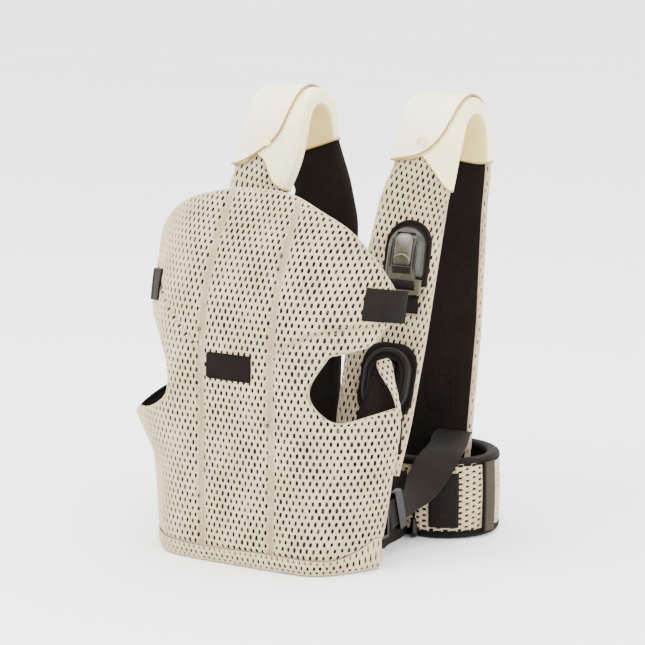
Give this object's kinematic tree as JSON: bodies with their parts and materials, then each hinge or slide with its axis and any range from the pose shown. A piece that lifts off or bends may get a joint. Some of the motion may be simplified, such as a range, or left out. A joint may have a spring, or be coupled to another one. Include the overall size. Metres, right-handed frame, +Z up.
{
  "type": "soft baby carrier",
  "caption": "Front pouch of padded air mesh with a fold-down head support, padded shoulder straps with covers and buckles, and a padded waist belt.",
  "frame": {"origin": "under the middle of the carrier, on the surface it stands on", "axes": "+Z up, +Y from the pouch back to the waist belt, +X to the right when facing the pouch"},
  "size_m": [0.302, 0.28, 0.4285],
  "materials": {
    "air_mesh": "cream polyester air mesh with open cells",
    "foam": "dark foam",
    "lining": "black woven lining",
    "cover_cotton": "ivory quilted cotton",
    "webbing": "black woven webbing",
    "end_tab": "olive woven band with black edge",
    "label": "black woven label, plain",
    "stud": "ivory press stud",
    "buckle_plastic": "olive grey moulded plastic, glossy",
    "black_plastic": "black moulded plastic",
    "elastic": "black elastic cord"
  },
  "bodies": {
    "carrier": {"pouch_mesh": "air_mesh", "pouch_hem": "air_mesh", "belt_mesh": "air_mesh", "strap_mesh_right": "air_mesh", "strap_mesh_left": "air_mesh", "wing_tongue_right": "air_mesh", "wing_tongue_left": "air_mesh", "pouch_padding": "foam", "belt_padding": "foam", "strap_padding_right": "foam", "strap_padding_left": "foam", "pouch_lining": "lining", "belt_lining": "lining", "seat_base": "lining", "strap_lining_right": "lining", "strap_lining_left": "lining", "side_wall_right": "lining", "side_wall_left": "lining", "shoulder_cover_right": "cover_cotton", "shoulder_cover_left": "cover_cotton", "cover_lining_right": "cover_cotton", "cover_lining_left": "cover_cotton", "belt_binding_top": "webbing", "belt_binding_bottom": "webbing", "belt_keeper": "webbing", "wide_webbing_right": "webbing", "wide_webbing_left": "webbing", "buckle_patch_right": "webbing", "buckle_patch_left": "webbing", "lock_patch_right": "webbing", "lock_patch_left": "webbing", "strap_patch_right": "webbing", "strap_patch_left": "webbing", "belt_end_tab": "end_tab", "front_label": "label", "cover_studs": "stud", "buckle_housing_right": "buckle_plastic", "buckle_housing_left": "buckle_plastic", "lock_plate_right": "black_plastic", "lock_plate_left": "black_plastic", "side_ring_right": "black_plastic", "side_ring_left": "black_plastic", "cord_pull": "black_plastic", "elastic_cord": "elastic"},
    "head_support": {"head_mesh": "air_mesh", "head_padding": "foam", "head_lining": "lining", "head_tab_left": "webbing", "head_tab_right": "webbing"},
    "right_clip": {"buckle_clip_right": "buckle_plastic", "clip_webbing_right": "webbing"},
    "left_clip": {"buckle_clip_left": "buckle_plastic", "clip_webbing_left": "webbing"},
    "right_button": {"release_button_right": "buckle_plastic"},
    "left_button": {"release_button_left": "buckle_plastic"},
    "right_guide": {"lock_slider_right": "black_plastic"},
    "left_guide": {"lock_slider_left": "black_plastic"},
    "right_slider": {"webbing_slider_right": "buckle_plastic"},
    "left_slider": {"webbing_slider_left": "buckle_plastic"}
  },
  "joints": [
    {"name": "head_support_fold", "type": "hinge", "parent": "carrier", "child": "head_support", "pos_m": [0, -0.1388, 0.207], "axis": [1, 0, 0], "range_deg": [0, 150]},
    {"name": "right_buckle_clip_slide", "type": "slide", "parent": "carrier", "child": "right_clip", "axis": [0, -0.265, -0.9643], "range_m": [0, 0.03]},
    {"name": "right_release_button_press", "type": "slide", "parent": "carrier", "child": "right_button", "axis": [0, 0.9643, -0.265], "range_m": [0, 0.0014], "stiffness_N_per_m": 600, "springref_m": -0.001},
    {"name": "right_guide_lock_slide", "type": "slide", "parent": "carrier", "child": "right_guide", "axis": [0, -0.2916, -0.9565], "range_m": [0, 0.0155]},
    {"name": "right_webbing_slider_slide", "type": "slide", "parent": "carrier", "child": "right_slider", "axis": [-0.0688, -0.9742, -0.2149], "range_m": [-0.008, 0.008]},
    {"name": "left_buckle_clip_slide", "type": "slide", "parent": "carrier", "child": "left_clip", "axis": [0, -0.265, -0.9643], "range_m": [0, 0.03]},
    {"name": "left_release_button_press", "type": "slide", "parent": "carrier", "child": "left_button", "axis": [0, 0.9643, -0.265], "range_m": [0, 0.0014], "stiffness_N_per_m": 600, "springref_m": -0.001},
    {"name": "left_guide_lock_slide", "type": "slide", "parent": "carrier", "child": "left_guide", "axis": [0, -0.2916, -0.9565], "range_m": [0, 0.0155]},
    {"name": "left_webbing_slider_slide", "type": "slide", "parent": "carrier", "child": "left_slider", "axis": [0.0688, -0.9742, -0.2149], "range_m": [-0.008, 0.008]}
  ]
}
